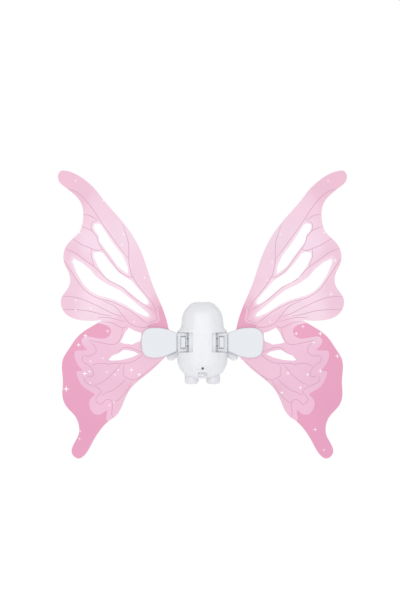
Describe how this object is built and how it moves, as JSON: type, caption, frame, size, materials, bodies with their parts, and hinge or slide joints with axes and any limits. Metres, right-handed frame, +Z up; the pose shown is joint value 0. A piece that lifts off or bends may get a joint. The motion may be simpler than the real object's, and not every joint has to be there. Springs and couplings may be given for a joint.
{
  "type": "motorised flapping wing unit",
  "caption": "Battery-driven flapping wing unit: a rounded plastic body with rear hinge hubs, clamp plates and cut-out film wings, geared to a crank and yoke.",
  "frame": {"origin": "centre of the flat outer face of the wearer pad", "axes": "+Z up, +Y out of the pad towards the wearer, +X across the wings; the side seen from behind is -Y"},
  "size_m": [0.5634, 0.066, 0.5616],
  "materials": {
    "body_white": "satin",
    "limb_white": "satin",
    "clamp_white": "satin",
    "hub_white": "satin",
    "film_pink": "pearly printed film",
    "pad_foam": "soft",
    "gearbox_plastic": "satin",
    "gear_acetal": "smooth",
    "steel": "bright",
    "screw_dark": "black oxide",
    "motor_steel": "plated",
    "motor_cap_plastic": "moulded",
    "cell_wrap": "shrink sleeve",
    "board_green": "solder mask",
    "chip_black": "moulded",
    "control_dark": "moulded",
    "knob_white": "satin"
  },
  "bodies": {
    "body": {"rear_shell": "body_white", "front_shell": "body_white", "wearer_pad": "pad_foam", "case_screws": "steel", "right_arm": "limb_white", "left_arm": "limb_white", "right_foot": "limb_white", "left_foot": "limb_white", "gearbox_base": "gearbox_plastic", "gearbox_bridge": "gearbox_plastic", "gearbox_cover": "gearbox_plastic", "gearbox_screws": "steel", "gear_axles": "steel", "motor_case": "motor_steel", "motor_cap": "motor_cap_plastic", "battery_cell": "cell_wrap", "battery_holder": "gearbox_plastic", "circuit_board": "board_green", "board_parts": "chip_black", "charge_jack": "control_dark", "switch_body": "control_dark"},
    "right_wing": {"right_hub": "hub_white", "right_hub_shaft": "steel", "right_sector": "gear_acetal", "right_hub_screws": "screw_dark", "right_clamp_back": "clamp_white", "right_clamp_front": "clamp_white", "right_clamp_screws": "steel", "right_film": "film_pink"},
    "left_wing": {"left_hub": "hub_white", "left_hub_shaft": "steel", "left_sector": "gear_acetal", "left_hub_screws": "screw_dark", "left_clamp_back": "clamp_white", "left_clamp_front": "clamp_white", "left_clamp_screws": "steel", "left_film": "film_pink"},
    "right_latch_button": {"right_latch": "clamp_white"},
    "left_latch_button": {"left_latch": "clamp_white"},
    "slider": {"yoke_slider": "gear_acetal"},
    "crank": {"crank_gear": "gear_acetal"},
    "gear_two": {"second_gear": "gear_acetal"},
    "gear_one": {"first_gear": "gear_acetal"},
    "rotor": {"motor_rotor": "steel"},
    "knob": {"switch_knob": "knob_white"}
  },
  "joints": [
    {"name": "left_wing_flap", "type": "hinge", "parent": "body", "child": "left_wing", "pos_m": [-0.025, -0.048, 0], "axis": [0, 0, 1], "range_deg": [-20, 20]},
    {"name": "right_wing_flap", "type": "hinge", "parent": "body", "child": "right_wing", "pos_m": [0.025, -0.048, 0], "axis": [0, 0, 1], "range_deg": [-20, 20]},
    {"name": "slider_travel", "type": "slide", "parent": "body", "child": "slider", "axis": [0, 1, 0], "range_m": [-0.0042, 0.0042]},
    {"name": "crank_spin", "type": "hinge", "parent": "body", "child": "crank", "pos_m": [0, -0.03, 0.035], "axis": [0, 0, 1], "continuous": true},
    {"name": "second_gear_spin", "type": "hinge", "parent": "body", "child": "gear_two", "pos_m": [-0.012, -0.039, 0.038], "axis": [0, 0, 1], "continuous": true},
    {"name": "first_gear_spin", "type": "hinge", "parent": "body", "child": "gear_one", "pos_m": [-0.021, -0.027, 0.042], "axis": [0, 0, 1], "continuous": true},
    {"name": "motor_spin", "type": "hinge", "parent": "body", "child": "rotor", "pos_m": [-0.006, -0.027, 0.05], "axis": [0, 0, 1], "continuous": true},
    {"name": "switch_slide", "type": "slide", "parent": "body", "child": "knob", "axis": [1, 0, 0], "range_m": [0, 0.004]},
    {"name": "right_latch_press", "type": "slide", "parent": "right_wing", "child": "right_latch_button", "axis": [0, 1, 0], "range_m": [0, 0.0012], "stiffness_N_per_m": 800},
    {"name": "left_latch_press", "type": "slide", "parent": "left_wing", "child": "left_latch_button", "axis": [0, 1, 0], "range_m": [0, 0.0012], "stiffness_N_per_m": 800}
  ],
  "couplings": [
    {"joint": "right_wing_flap", "follows": "left_wing_flap", "ratio": -1},
    {"joint": "slider_travel", "follows": "left_wing_flap", "m_per_rad": 0.012},
    {"joint": "first_gear_spin", "follows": "motor_spin", "ratio": -0.25},
    {"joint": "second_gear_spin", "follows": "motor_spin", "ratio": 0.0625},
    {"joint": "crank_spin", "follows": "motor_spin", "ratio": -0.015625}
  ]
}
